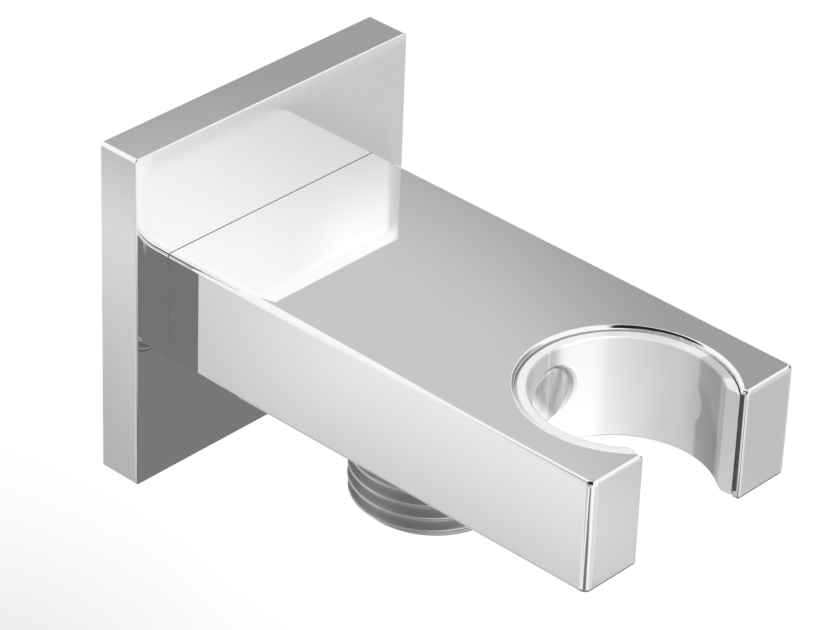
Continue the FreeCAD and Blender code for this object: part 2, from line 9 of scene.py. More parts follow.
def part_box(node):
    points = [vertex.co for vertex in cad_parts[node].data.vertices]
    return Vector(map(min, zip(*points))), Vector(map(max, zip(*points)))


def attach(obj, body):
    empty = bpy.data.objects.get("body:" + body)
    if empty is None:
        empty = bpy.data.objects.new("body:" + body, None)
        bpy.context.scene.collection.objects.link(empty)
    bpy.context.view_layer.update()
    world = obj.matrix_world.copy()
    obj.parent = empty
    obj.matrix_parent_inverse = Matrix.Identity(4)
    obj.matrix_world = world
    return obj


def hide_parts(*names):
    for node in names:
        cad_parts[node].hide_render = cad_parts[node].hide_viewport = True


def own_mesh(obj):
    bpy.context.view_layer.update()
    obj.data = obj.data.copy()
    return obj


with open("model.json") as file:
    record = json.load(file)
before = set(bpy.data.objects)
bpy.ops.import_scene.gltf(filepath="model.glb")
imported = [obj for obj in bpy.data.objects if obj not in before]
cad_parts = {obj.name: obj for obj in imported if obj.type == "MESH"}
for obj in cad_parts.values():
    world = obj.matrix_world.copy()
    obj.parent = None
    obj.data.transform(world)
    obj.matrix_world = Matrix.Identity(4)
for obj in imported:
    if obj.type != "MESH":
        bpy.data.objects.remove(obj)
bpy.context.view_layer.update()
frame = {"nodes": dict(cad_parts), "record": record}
nodes = frame["nodes"]
mounts = {mount["name"]: mount for mount in frame["record"]["mounts"]}
MM = 0.001
ACROSS, UPWARD = 0, 2
UP = Vector((0, 0, 1))
FORWARD = Vector((0, -1, 0))
INTO_WALL = Vector((0, 1, 0))

# Places and sizes that the frame gives
plate_low, plate_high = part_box("wall_plate")
ARM_LEFT, ARM_FRONT, ARM_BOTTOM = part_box("arm")[0]
OUTLET_Y = mounts["hose_thread"]["pos_m"][1]
OUTLET_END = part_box("hose_nipple")[0].z
WALL_NIPPLE_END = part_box("wall_nipple")[1].y
THREAD_RADIUS = mounts["hose_thread"]["dims"]["r_mm"] * MM
CUP_Y = mounts["handset_cup"]["pos_m"][1]
LINER_BORE_RADIUS = mounts["handset_cup"]["dims"]["r_mm"] * MM
LINER_OUTER_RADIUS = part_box("cup_liner")[1].x

# Camera
IMAGE_WIDTH = 823
SENSOR_WIDTH = 36.0
FOCAL_PIXELS = 4171.9
CAMERA_AZIMUTH = -47.82
CAMERA_ELEVATION = 32.25
CAMERA_ROLL = 2.26
CAMERA_DISTANCE = 497.9 * MM
CAMERA_TARGET = Vector((-0.62, -30.0, 2.40)) * MM
CLIP_START = 0.01
CLIP_END = 20.0

# Lamp
KEY_AZIMUTH = -12.0
KEY_ELEVATION = 50.0
KEY_STRENGTH = 3.9
KEY_ANGLE = 28.0

# Room. A part has an azimuth, an elevation and the angles from its middle at which it begins and ends to
# fade, in degrees. Each part of the list lies over the ones before it, and has its brightness last. The even
# light is what falls on dull surfaces
EVEN_LIGHT = 0.28
ROOM_PARTS = (
    (-85, 12, 24, 46, 0.42),
    (46, -12, 14, 30, 0.70),
    (82, 15, 16, 34, 0.33),
    (92, 2, 6, 20, 0.16),
    (47, 39, 5, 11, 1.13),
    (52, 22, 5, 12, 0.55),
    (32, 31, 4, 9, 1.08),
)
HOT_SPOT = (47.7, 31.5, 0.3, 1.5)
HOT_SPOT_GAIN = 1.25
BEHIND = (131.5, 31.5, 8, 10)
BEHIND_LEVEL = 0.37
BEHIND_MIDDLE = (135.3, 36.4, 5, 7.5)
BEHIND_MIDDLE_LEVEL = 0.61
DARK_CORNER = (-44, 41, 11, 14)
DARK = 0.02

# Dark gap in the ceiling. Its right and rear edges are straight, each with its shares of x and y, an offset,
# and where its passage begins and ends
CEILING_RIGHT = (-0.767, 0.642, 0.167, -0.03, 0.05)
CEILING_REAR = (-0.12, -1.0, 0.486, -0.03, 0.04)
CEILING_RISE = (0.56, 0.66)

# Floor. Polished metal mirrors it around its middle, out to where it fades
FLOOR_Z = -0.14
FLOOR_HALF = 1.5
FLOOR_PALE = 0.85
FLOOR_SEEN = 0.5
FLOOR_GLOW = 0.40
FLOOR_MIDDLE = (0.010, -0.020, 0.0)
FLOOR_FADE = (0.325, 0.36)

# Tones of the floor in polished metal, a painted reflection: for glossy rays the floor glows with them
# instead of showing its lit colour. A fall has the two places between which the tone changes, and the tone at
# each
LEFT_FALL = (-0.200, -0.125, 0.92, 0.45)
LEFT_EDGE_FALL = (-0.225, -0.190, 0.68, 1.0)
LEFT_REAR_FALL = (0.11, 0.16, 1.0, 0.81)
RIGHT_START = (-0.12, 0.0)
RIGHT_TONE = 0.62
FRONT_START = (-0.238, -0.216)
FRONT_FALL = (-0.12, 0.02, 1.05, 0.75)
FRONT_RIGHT_START = (0.13, 0.19)
FRONT_RIGHT_TONE = 0.66

# Patches of the floor in polished metal, part of the painted reflection. The darkest ones are painted shade
# under and near the object. Each lies over what is before it. It has the x and y of its middle, its half
# sizes, the shares of them at which it begins and ends to fade, and its brightness
PATCH_SQUARENESS = 4.0
REAR_PATCHES = (
    (0.190, -0.190, 0.020, 0.025, 0.8, 1.4, 0.56),
    (-0.238, 0.005, 0.032, 0.045, 0.7, 1.3, 0.57),
    (-0.250, -0.120, 0.040, 0.060, 0.8, 1.3, 1.0),
)
LATER_PATCHES = (
    (-0.015, 0.150, 0.095, 0.045, 0.8, 1.2, 0.08),
    (0.120, -0.225, 0.020, 0.020, 0.4, 2.2, 0.85),
    (-0.010, -0.095, 0.135, 0.077, 1.29, 1.37, 0.20),
    (-0.180, -0.156, 0.036, 0.034, 1.0, 1.35, 0.20),
    (-0.150, -0.192, 0.018, 0.020, 1.0, 1.25, 0.20),
)

# Polishing has rolled the plate's front face off near its edges
BUFF_WIDTH = 3.4 * MM
BUFF_DROP = 0.099 * MM
BUFF_POWER = 3.0
FRONT_COSINE = 0.999

# It has rolled off the bar's top face along its left edge too
ARM_FLAT_LEFT = ARM_LEFT + 0.5 * MM
ROLL_WIDTH = 1.0 * MM
ROLL_DROP_REAR = 0.08 * MM
ROLL_DROP_FRONT = 0.03 * MM
TOP_COSINE = 0.97

# Hairline joint between the bar and the plate, drawn as a painted glow in place of its own light and shade
JOINT_GAP = 0.09 * MM
JOINT_PAINTED_GLOW = 0.16

# Pipe thread of the hose and wall nipples
THREAD_PITCH = 1.814 * MM
THREAD_DEPTH = 1.162 * MM
THREAD_ROOT = THREAD_RADIUS - THREAD_DEPTH
THREAD_FLANK = math.radians(27.5)
THREAD_ROUNDING = 0.249 * MM
THREAD_RUN_OUT = 1.2 * MM
THREAD_TURN_STEPS = 144
THREAD_PITCH_STEPS = 14
THREAD_SLACK = 0.01 * MM
WALL_THREAD_START = -0.4 * MM

# A crest of each thread at its right side. The hose thread's is a quarter turn on from one at its front
HOSE_FRONT_CREST_Z = -14.44 * MM
HOSE_CREST_Z = HOSE_FRONT_CREST_Z + THREAD_PITCH / 4
WALL_CREST_Y = 5.0 * MM

# Crests of the hose thread. Their brighter tone is a painted highlight, their lower roughness is real
CREST_BAND = (THREAD_RADIUS - 0.09 * MM, THREAD_RADIUS - 0.01 * MM)
CREST_END = (ARM_BOTTOM - 0.1 * MM, ARM_BOTTOM)
FLANK_TONE = 0.58
CREST_PAINTED_HIGHLIGHT_TONE = 0.72
FLANK_ROUGHNESS = 0.45
CREST_ROUGHNESS = 0.30
TURNING_MARKS = (60.0, 60.0, 4000.0)
TURNING_DEPTH = 0.01 * MM

# Shades of the clear liner, painted into its colour by turn about the cup. The side shade, the lit light and
# the right end's shade are painted light and shade, the gap's is a painted shadow, and the rear patch is
# darker. A pair of turns says where a shade begins and ends to change, in degrees about the cup's axis, with
# 0 at the rear and 90 at the right
LINER_TONE = 0.92
LINER_CLARITY = 0.25
LINER_IOR = 1.49
LINER_ROUGHNESS = (0.10, 0.18)
LINER_GRAIN = 500.0
SIDE_TURNS = (30, 43)
SIDE_PAINTED_SHADE = 0.86
LIT_TURNS = (68, 88)
LIT_PAINTED_LIGHT = 1.16
RIGHT_SHADE_START = (95, 99)
RIGHT_SHADE_END = (119, 123)
RIGHT_END_PAINTED_SHADE = 0.68
REAR_PATCH_TURNS = (0, 11)
REAR_PATCH_HEIGHTS = (0.5 * MM, 2.2 * MM)
REAR_PATCH_SHADE = 0.56
BORE_SKIN = (LINER_BORE_RADIUS + 0.15 * MM, LINER_BORE_RADIUS + 0.25 * MM)
LINER_GAP_TURNS = (117, 121)
LINER_GAP_RADII = (LINER_OUTER_RADIUS - 0.09 * MM, LINER_OUTER_RADIUS - 0.04 * MM)
LINER_GAP_PAINTED_SHADOW = 0.10

# Marks that the mould has left on the liner, with turns in the same degrees
GATE_TURN = math.radians(93.5)
GATE_HEIGHT = 0.6 * MM
GATE_HALF_WIDTH = 1.54 * MM
GATE_HALF_HEIGHT = 2.39 * MM
GATE_EDGE = (0.92, 1.0)
GATE_LINE_START = (0.88, 0.97)
GATE_LINE_END = (0.97, 1.06)
GATE_RISE = 0.03 * MM
GATE_LINE_LIGHT = 0.05
PARTING_START = (-3.6, -3.0)
PARTING_END = (-2.8, -2.2)
PARTING_HEIGHTS = (2.8 * MM, 3.0 * MM)
PARTING_LIGHT = 0.30
FLOW_SCALE = 260.0
FLOW_DEPTH = 0.004 * MM

# Face of the stud behind the liner's hole, with a painted highlight low on its left
STREAK_SCALE = (700.0, 500.0, 150.0)
STREAK_NOISE = (1.0, 3.0, 0.6)
STREAK_RANGE = (0.35, 0.65)
STREAK_TONES = (0.42, 0.66)
STREAK_DEPTH = 0.03 * MM
STUD_SLANT = 1.3
STUD_HIGHLIGHT_EDGE = (-3.6 * MM, -0.4 * MM)
STUD_PAINTED_HIGHLIGHT = 0.70
STUD_ROUGHNESS = 0.32
STUD_METALLIC = 0.6

# Metals in general. A noise has a scale, a detail and a roughness
CHROME = (0.93, 0.93, 0.93)
BRASS = (0.80, 0.62, 0.33)
STEEL = (0.62, 0.62, 0.63)
SPRING_STEEL = (0.70, 0.70, 0.70)
SMUDGE_NOISE = (90.0, 3.0, 0.6)
SMUDGE_RANGE = (0.35, 0.75)
SMUDGE_SHARES = (0.7, 1.5)
METAL_TINT_NOISE = (160.0, 2.0)
METAL_DARKER = 0.985
WAVE_NOISE = (45.0, 1.0, 0.4)

# Plastics and rubber in general
SEAL_RUBBER = (0.035, 0.035, 0.037)
FOAM_RUBBER = (0.06, 0.06, 0.062)
VALVE_PLASTIC = (0.78, 0.78, 0.76)
POPPET_PLASTIC = (0.12, 0.24, 0.50)
GRAIN_NOISE = (3.0, 0.6)
GRAIN_RANGE = (0.3, 0.7)
GRAIN_SHARES = (0.85, 1.15)
PLASTIC_TINT_NOISE = (220.0, 2.0)
PLASTIC_DARKER = 0.88


class Tree:
    """Adds and links shader nodes."""

    def __init__(self, owner):
        owner.use_nodes = True
        self.tree = owner.node_tree
        self.tree.nodes.clear()

    def add(self, kind, links=None, **settings):
        """A node, with its sockets linked or set."""
        node = self.tree.nodes.new(kind)
        for name, value in settings.items():
            setattr(node, name, value)
        for socket, value in (links or {}).items():
            target = node.inputs[socket]
            if isinstance(value, bpy.types.NodeSocket):
                self.tree.links.new(value, target)
            else:
                target.default_value = value
        return node

    def math(self, operation, *values):
        return self.add("ShaderNodeMath", dict(enumerate(values)), operation=operation).outputs[0]

    def times(self, first, *others):
        """The product of all the values."""
        for other in others:
            first = self.math("MULTIPLY", first, other)
        return first

    def vector(self, operation, *values):
        node = self.add("ShaderNodeVectorMath", dict(enumerate(values)), operation=operation)
        if operation in ("DOT_PRODUCT", "LENGTH", "DISTANCE"):
            return node.outputs["Value"]
        return node.outputs[0]

    def split(self, vector):
        """The x, y and z of a vector."""
        return self.add("ShaderNodeSeparateXYZ", {0: vector}).outputs

    def length(self, x, y):
        """The length of a vector in a plane."""
        joined = self.add("ShaderNodeCombineXYZ", {0: x, 1: y})
        return self.vector("LENGTH", joined.outputs[0])

    def smooth(self, value, low, high, start=0.0, end=1.0):
        """start below low, end above high, and a soft passage between."""
        node = self.add(
            "ShaderNodeMapRange",
            {0: value, 1: low, 2: high, 3: start, 4: end},
            interpolation_type="SMOOTHSTEP",
        )
        return node.outputs[0]

    def mix(self, factor, first, second):
        """A number between first and second."""
        return self.add("ShaderNodeMix", {0: factor, 2: first, 3: second}, data_type="FLOAT").outputs[0]

    def mix_shaders(self, factor, first, second):
        return self.add("ShaderNodeMixShader", {0: factor, 1: first.outputs[0], 2: second.outputs[0]})

    def noise(self, vector, scale, detail=2.0, roughness=0.5):
        settings = {"Vector": vector, "Scale": scale, "Detail": detail, "Roughness": roughness}
        return self.add("ShaderNodeTexNoise", settings).outputs[0]

    def place(self):
        """The place on the piece, in metres."""
        return self.add("ShaderNodeTexCoord").outputs["Object"]

    def true_normal(self):
        return self.add("ShaderNodeNewGeometry").outputs["True Normal"]

    def grey(self, level):
        """The neutral colour of a brightness."""
        return self.add("ShaderNodeCombineColor", {0: level, 1: level, 2: level}).outputs[0]

    def mottled(self, factor, colour, darker):
        """A colour, down to its darker share as the factor falls."""
        low = (*[part * darker for part in colour], 1.0)
        node = self.add("ShaderNodeMix", {0: factor, 6: low, 7: (*colour, 1.0)}, data_type="RGBA")
        return node.outputs[2]

    def relief(self, height, distance=1.0):
        """The normal of a surface with that height."""
        node = self.add("ShaderNodeBump", {"Height": height, "Strength": 1.0, "Distance": distance})
        return node.outputs[0]

    def emission(self, strength):
        return self.add("ShaderNodeEmission", {"Color": rgb(1.0), "Strength": strength})

    def principled(self, colour, roughness, normal, **others):
        values = {"Base Color": colour, "Roughness": roughness, "Normal": normal}
        return self.add("ShaderNodeBsdfPrincipled", {**values, **others})

    def finish(self, shader):
        self.add("ShaderNodeOutputMaterial", {"Surface": shader.outputs[0]})


def rgb(level):
    """A neutral colour of that linear brightness."""
    return (level, level, level, 1.0)


def direction_of(azimuth, elevation):
    """The unit vector towards an azimuth, 0 at -Y and 90 at +X, and an elevation, in degrees."""
    a, e = math.radians(azimuth), math.radians(elevation)
    return Vector((math.sin(a) * math.cos(e), -math.cos(a) * math.cos(e), math.sin(e)))


def make_camera():
    back = direction_of(CAMERA_AZIMUTH, CAMERA_ELEVATION)
    level_right = (-back).cross(UP).normalized()
    level_up = level_right.cross(-back)
    roll = math.radians(CAMERA_ROLL)
    right = level_right * math.cos(roll) + level_up * math.sin(roll)
    up = level_up * math.cos(roll) - level_right * math.sin(roll)
    camera = bpy.data.objects.new("camera", bpy.data.cameras.new("camera"))
    bpy.context.scene.collection.objects.link(camera)
    camera.data.sensor_width = SENSOR_WIDTH
    camera.data.lens = FOCAL_PIXELS * SENSOR_WIDTH / IMAGE_WIDTH
    camera.data.clip_start = CLIP_START
    camera.data.clip_end = CLIP_END
    turn = Matrix((right, up, back)).transposed().to_4x4()
    camera.matrix_world = Matrix.Translation(CAMERA_TARGET + back * CAMERA_DISTANCE) @ turn
    bpy.context.scene.camera = camera


def make_key():
    """A broad soft lamp from the front, which polished metal doesn't mirror."""
    key = bpy.data.objects.new("key", bpy.data.lights.new("key", "SUN"))
    bpy.context.scene.collection.objects.link(key)
    key.data.energy = KEY_STRENGTH
    key.data.angle = math.radians(KEY_ANGLE)
    key.rotation_euler = direction_of(KEY_AZIMUTH, KEY_ELEVATION).to_track_quat("Z", "Y").to_euler()
    key.visible_glossy = False


def make_world():
    """White for the camera. For the reflections, a pale room with soft brighter and darker parts."""
    world = bpy.data.worlds.new("studio")
    bpy.context.scene.world = world
    t = Tree(world)
    ray = t.add("ShaderNodeLightPath").outputs
    towards = t.add("ShaderNodeTexCoord").outputs["Generated"]

    def lobe(azimuth, elevation, inner, outer):
        """1 within inner degrees of a direction and 0 beyond outer."""
        cosine = t.vector("DOT_PRODUCT", towards, direction_of(azimuth, elevation))
        return t.smooth(cosine, math.cos(math.radians(outer)), math.cos(math.radians(inner)))

    def dark_ceiling():
        """1 in the dark gap overhead, between the pale panels at the right and at the back."""
        x, y, z = t.split(towards)
        inside = t.smooth(z, *CEILING_RISE)
        for share_x, share_y, offset, low, high in (CEILING_RIGHT, CEILING_REAR):
            past = t.math("MULTIPLY_ADD", x, share_x, t.math("MULTIPLY_ADD", y, share_y, offset))
            inside = t.times(inside, t.smooth(past, low, high))
        return inside

    behind = t.mix(lobe(*BEHIND_MIDDLE), BEHIND_LEVEL, BEHIND_MIDDLE_LEVEL)
    level = 1.0
    for *part, brightness in ROOM_PARTS:
        level = t.mix(lobe(*part), level, brightness)
    level = t.times(level, t.mix(lobe(*HOT_SPOT), 1.0, HOT_SPOT_GAIN))
    level = t.mix(dark_ceiling(), level, DARK)
    level = t.mix(lobe(*BEHIND), level, behind)
    level = t.mix(lobe(*DARK_CORNER), level, DARK)
    level = t.mix(ray["Is Glossy Ray"], EVEN_LIGHT, level)
    white = t.math("MAXIMUM", ray["Is Camera Ray"], ray["Is Transmission Ray"])
    level = t.mix(white, level, 1.0)
    background = t.add("ShaderNodeBackground", {"Strength": level, "Color": rgb(1.0)})
    t.add("ShaderNodeOutputWorld", {"Surface": background.outputs[0]})


def painted_floor_tone(t, place):
    """Painted brightness that the floor glows with where polished metal mirrors it, with painted shade under
    and near the object.
    """
    x, y = t.split(place)[:2]

    def patched(tone, patches):
        """The tone, with the patches laid over it."""
        for middle_x, middle_y, half_x, half_y, inner, outer, brightness in patches:
            across = t.math("ABSOLUTE", t.math("DIVIDE", t.math("SUBTRACT", x, middle_x), half_x))
            along = t.math("ABSOLUTE", t.math("DIVIDE", t.math("SUBTRACT", y, middle_y), half_y))
            across = t.math("POWER", across, PATCH_SQUARENESS)
            along = t.math("POWER", along, PATCH_SQUARENESS)
            away = t.math("POWER", t.math("ADD", across, along), 1 / PATCH_SQUARENESS)
            tone = t.mix(t.smooth(away, inner, outer, 1.0, 0.0), tone, brightness)
        return tone

    left = t.times(t.smooth(x, *LEFT_FALL), t.smooth(x, *LEFT_EDGE_FALL), t.smooth(y, *LEFT_REAR_FALL))
    rear = patched(t.mix(t.smooth(x, *RIGHT_START), left, RIGHT_TONE), REAR_PATCHES)
    front = t.mix(t.smooth(x, *FRONT_RIGHT_START), t.smooth(x, *FRONT_FALL), FRONT_RIGHT_TONE)
    tone = t.mix(t.smooth(y, *FRONT_START, 1.0, 0.0), rear, front)
    return patched(tone, LATER_PATCHES)


def make_floor():
    """Pale floor. Seen from below it is clear, so that the underside shows."""
    mesh = bpy.data.meshes.new("floor")
    b = bmesh.new()
    bmesh.ops.create_grid(b, x_segments=1, y_segments=1, size=FLOOR_HALF)
    b.to_mesh(mesh)
    b.free()
    floor = bpy.data.objects.new("floor", mesh)
    floor.location.z = FLOOR_Z
    bpy.context.scene.collection.objects.link(floor)
    material = bpy.data.materials.new("floor")
    floor.data.materials.append(material)
    t = Tree(material)
    ray = t.add("ShaderNodeLightPath").outputs
    place = t.place()
    beyond = t.smooth(t.vector("DISTANCE", place, FLOOR_MIDDLE), *FLOOR_FADE)
    open_air = t.add("ShaderNodeBsdfTransparent")
    # For glossy rays the floor glows with the painted tones, a painted reflection
    mirrored = t.mix_shaders(beyond, t.emission(painted_floor_tone(t, place)), open_air)
    paint = t.add("ShaderNodeBsdfDiffuse", {"Color": rgb(FLOOR_SEEN)})
    seen = t.add("ShaderNodeAddShader", {0: paint.outputs[0], 1: t.emission(FLOOR_GLOW).outputs[0]})
    pale = t.add("ShaderNodeBsdfDiffuse", {"Color": rgb(FLOOR_PALE)})
    white = t.math("MAXIMUM", ray["Is Camera Ray"], ray["Is Transmission Ray"])
    base = t.mix_shaders(white, pale, seen)
    base = t.mix_shaders(ray["Is Glossy Ray"], base, mirrored)
    below = t.add("ShaderNodeNewGeometry").outputs["Backfacing"]
    t.finish(t.mix_shaders(below, base, t.add("ShaderNodeBsdfTransparent")))


def buffed_height(t, place):
    """Height of the plate's front face, rolled off near its four edges. The other faces stay flat."""
    split = t.split(place)
    total = 0.0
    for axis in (ACROSS, UPWARD):
        low, high = plate_low[axis], plate_high[axis]
        offset = t.math("ABSOLUTE", t.math("SUBTRACT", split[axis], (low + high) / 2))
        inset = t.math("SUBTRACT", (high - low) / 2, offset)
        share = t.add("ShaderNodeMapRange", {0: inset, 1: 0.0, 2: BUFF_WIDTH, 3: 1.0, 4: 0.0}).outputs[0]
        total = t.math("ADD", total, t.math("POWER", share, BUFF_POWER))
    faces_front = t.math("GREATER_THAN", t.vector("DOT_PRODUCT", t.true_normal(), FORWARD), FRONT_COSINE)
    return t.times(total, faces_front, -BUFF_DROP)


def rolled_height(t, place):
    """Height of the bar's top face, rolled off along its left edge, more so near the plate."""
    x, y = t.split(place)[:2]
    inset = t.math("SUBTRACT", x, ARM_FLAT_LEFT)
    share = t.math("MAXIMUM", t.math("SUBTRACT", 1.0, t.math("DIVIDE", inset, ROLL_WIDTH)), 0.0)
    drop = t.smooth(y, ARM_FRONT, plate_low.y, ROLL_DROP_FRONT, ROLL_DROP_REAR)
    faces_up = t.math("GREATER_THAN", t.vector("DOT_PRODUCT", t.true_normal(), UP), TOP_COSINE)
    return t.times(share, share, drop, faces_up, -1.0)


def polished_metal(name, colour, roughness, waviness, worn=None, joint_from=None):
    """Polished metal with faint smudges and a faint waviness. From joint_from on, a painted glow in a joint,
    in place of its shading.
    """
    material = bpy.data.materials.new(name)
    t = Tree(material)
    place = t.place()
    smudge = t.noise(place, *SMUDGE_NOISE)
    rough = t.smooth(smudge, *SMUDGE_RANGE, *[roughness * share for share in SMUDGE_SHARES])
    tint = t.mottled(t.noise(place, *METAL_TINT_NOISE), colour, METAL_DARKER)
    height = t.times(t.noise(place, *WAVE_NOISE), waviness)
    if worn:
        height = t.math("ADD", height, worn(t, place))
    surface = t.principled(tint, rough, t.relief(height), Metallic=1.0)
    if joint_from is not None:
        in_joint = t.math("GREATER_THAN", t.split(place)[1], joint_from)
        # Painted glow in the joint between the bar and the plate, standing in for its shading
        surface = t.mix_shaders(in_joint, surface, t.emission(JOINT_PAINTED_GLOW))
    t.finish(surface)
    return material


def thread_metal():
    """Chrome of the cut thread: dull flanks with fine turning marks, and smoother crests with a painted
    highlight in their tone.
    """
    material = bpy.data.materials.new("thread_look")
    t = Tree(material)
    place = t.place()
    x, y, z = t.split(place)
    from_axis = t.length(x, t.math("SUBTRACT", y, OUTLET_Y))
    crest = t.times(t.smooth(from_axis, *CREST_BAND), t.smooth(z, *CREST_END, 1.0, 0.0))
    # Brighter crest tone: painted highlight along the crests
    tint = t.grey(t.mix(crest, FLANK_TONE, CREST_PAINTED_HIGHLIGHT_TONE))
    rough = t.mix(crest, FLANK_ROUGHNESS, CREST_ROUGHNESS)
    marks = t.noise(t.vector("MULTIPLY", place, TURNING_MARKS), 1.0, 2.0)
    t.finish(t.principled(tint, rough, t.relief(marks, TURNING_DEPTH), Metallic=1.0))
    return material


def moulded_plastic(name, colour, roughness, grain, depth):
    """Moulded plastic or rubber with a fine grain and slight changes of tone."""
    material = bpy.data.materials.new(name)
    t = Tree(material)
    place = t.place()
    speck = t.noise(place, grain, *GRAIN_NOISE)
    tint = t.mottled(t.noise(place, *PLASTIC_TINT_NOISE), colour, PLASTIC_DARKER)
    rough = t.smooth(speck, *GRAIN_RANGE, *[min(1.0, roughness * share) for share in GRAIN_SHARES])
    t.finish(t.principled(tint, rough, t.relief(speck, depth)))
    return material


def clear_plastic():
    """Milky clear plastic, with shades painted in by turn about the cup: painted light and shade across it,
    painted shade near its right end, and a painted shadow in the gap at that end. It has flow marks and its
    mould's marks.
    """
    material = bpy.data.materials.new("clear_plastic_look")
    t = Tree(material)
    place = t.place()
    x, y, z = t.split(place)
    rearward = t.math("SUBTRACT", y, CUP_Y)
    turn = t.math("ARCTAN2", x, rearward)
    radius = t.length(x, rearward)
    on_bore = t.smooth(radius, *BORE_SKIN, 1.0, 0.0)

    def turning(turns, start, end):
        """A passage from start to end between two turns."""
        return t.smooth(turn, math.radians(turns[0]), math.radians(turns[1]), start, end)

    along = t.times(t.math("SUBTRACT", turn, GATE_TURN), LINER_BORE_RADIUS / GATE_HALF_WIDTH)
    above = t.math("DIVIDE", t.math("SUBTRACT", z, GATE_HEIGHT), GATE_HALF_HEIGHT)
    apart = t.length(along, above)
    in_gate = t.smooth(apart, *GATE_EDGE, 1.0, 0.0)
    gate_line = t.times(t.smooth(apart, *GATE_LINE_START), t.smooth(apart, *GATE_LINE_END, 1.0, 0.0))

    # Painted light and shade across the liner, by turn about the cup
    shade = t.times(turning(SIDE_TURNS, 1.0, SIDE_PAINTED_SHADE), turning(LIT_TURNS, 1.0, LIT_PAINTED_LIGHT))
    # Painted shade near the liner's right end, left out in the gate mark
    right_end_shade = t.times(turning(RIGHT_SHADE_START, 0.0, 1.0), turning(RIGHT_SHADE_END, 1.0, 0.0))
    right_end_shade = t.times(right_end_shade, t.math("SUBTRACT", 1.0, in_gate))
    shade = t.times(shade, t.mix(right_end_shade, 1.0, RIGHT_END_PAINTED_SHADE))
    rear_patch = t.times(turning(REAR_PATCH_TURNS, 1.0, 0.0), t.smooth(z, *REAR_PATCH_HEIGHTS), on_bore)
    shade = t.times(shade, t.mix(rear_patch, 1.0, REAR_PATCH_SHADE))
    shade = t.math("ADD", shade, t.times(gate_line, GATE_LINE_LIGHT))
    parting = t.times(turning(PARTING_START, 0.0, 1.0), turning(PARTING_END, 1.0, 0.0))
    parting = t.times(parting, t.smooth(z, *PARTING_HEIGHTS), on_bore)
    shade = t.math("ADD", shade, t.times(parting, PARTING_LIGHT))
    # Painted shadow in the gap between the liner's right end and the chrome
    gap_shadow = t.times(t.smooth(radius, *LINER_GAP_RADII), turning(LINER_GAP_TURNS, 0.0, 1.0))
    shade = t.times(shade, t.mix(gap_shadow, 1.0, LINER_GAP_PAINTED_SHADOW), LINER_TONE)

    flow = t.times(t.noise(place, FLOW_SCALE), FLOW_DEPTH)
    normal = t.relief(t.math("ADD", flow, t.times(in_gate, GATE_RISE)))
    rough = t.smooth(t.noise(place, LINER_GRAIN), *GRAIN_RANGE, *LINER_ROUGHNESS)
    clarity = {"Transmission Weight": LINER_CLARITY, "IOR": LINER_IOR}
    t.finish(t.principled(t.grey(shade), rough, normal, **clarity))
    return material


def stud_metal():
    """Plain steel with upright streaks, and a painted highlight low on the left."""
    material = bpy.data.materials.new("stud_look")
    t = Tree(material)
    place = t.place()
    split = t.split(place)
    streaks = t.noise(t.vector("MULTIPLY", place, STREAK_SCALE), *STREAK_NOISE)
    slant = t.math("ADD", split[2], t.times(split[0], STUD_SLANT))
    # Painted highlight low on the left of the stud's face
    painted_highlight = t.smooth(slant, *STUD_HIGHLIGHT_EDGE, STUD_PAINTED_HIGHLIGHT, 0.0)
    level = t.math("ADD", t.smooth(streaks, *STREAK_RANGE, *STREAK_TONES), painted_highlight)
    normal = t.relief(streaks, STREAK_DEPTH)
    t.finish(t.principled(t.grey(level), STUD_ROUGHNESS, normal, Metallic=STUD_METALLIC))
    return material


def thread_profile():
    """Distances below the crest along one pitch: straight flanks between a rounded crest and root."""
    profile = []
    slope = 1 / math.tan(THREAD_FLANK)
    reach = THREAD_ROUNDING * math.cos(THREAD_FLANK)
    cap = THREAD_ROUNDING * (1 - math.sin(THREAD_FLANK))
    for i in range(THREAD_PITCH_STEPS):
        along = THREAD_PITCH * i / THREAD_PITCH_STEPS
        from_crest = min(along, THREAD_PITCH - along)
        from_root = THREAD_PITCH / 2 - from_crest
        if from_crest < reach:
            drop = THREAD_ROUNDING - math.sqrt(THREAD_ROUNDING ** 2 - from_crest ** 2)
        elif from_root < reach:
            drop = THREAD_DEPTH - (THREAD_ROUNDING - math.sqrt(THREAD_ROUNDING ** 2 - from_root ** 2))
        else:
            drop = min(cap + (from_crest - reach) * slope, THREAD_DEPTH - cap)
        profile.append(min(drop, THREAD_DEPTH))
    return profile


def thread_radius(profile, along, turn, crest, run_out):
    """Radius of the thread's surface at a place along the axis and a turn. A run-out of 1 gives the root."""
    phase = (along - crest) / THREAD_PITCH - turn
    step = (phase % 1.0) * THREAD_PITCH_STEPS
    low = int(step) % THREAD_PITCH_STEPS
    high = (low + 1) % THREAD_PITCH_STEPS
    drop = profile[low] + (profile[high] - profile[low]) * (step - int(step))
    drop = drop + (THREAD_DEPTH - drop) * run_out
    return THREAD_RADIUS - drop


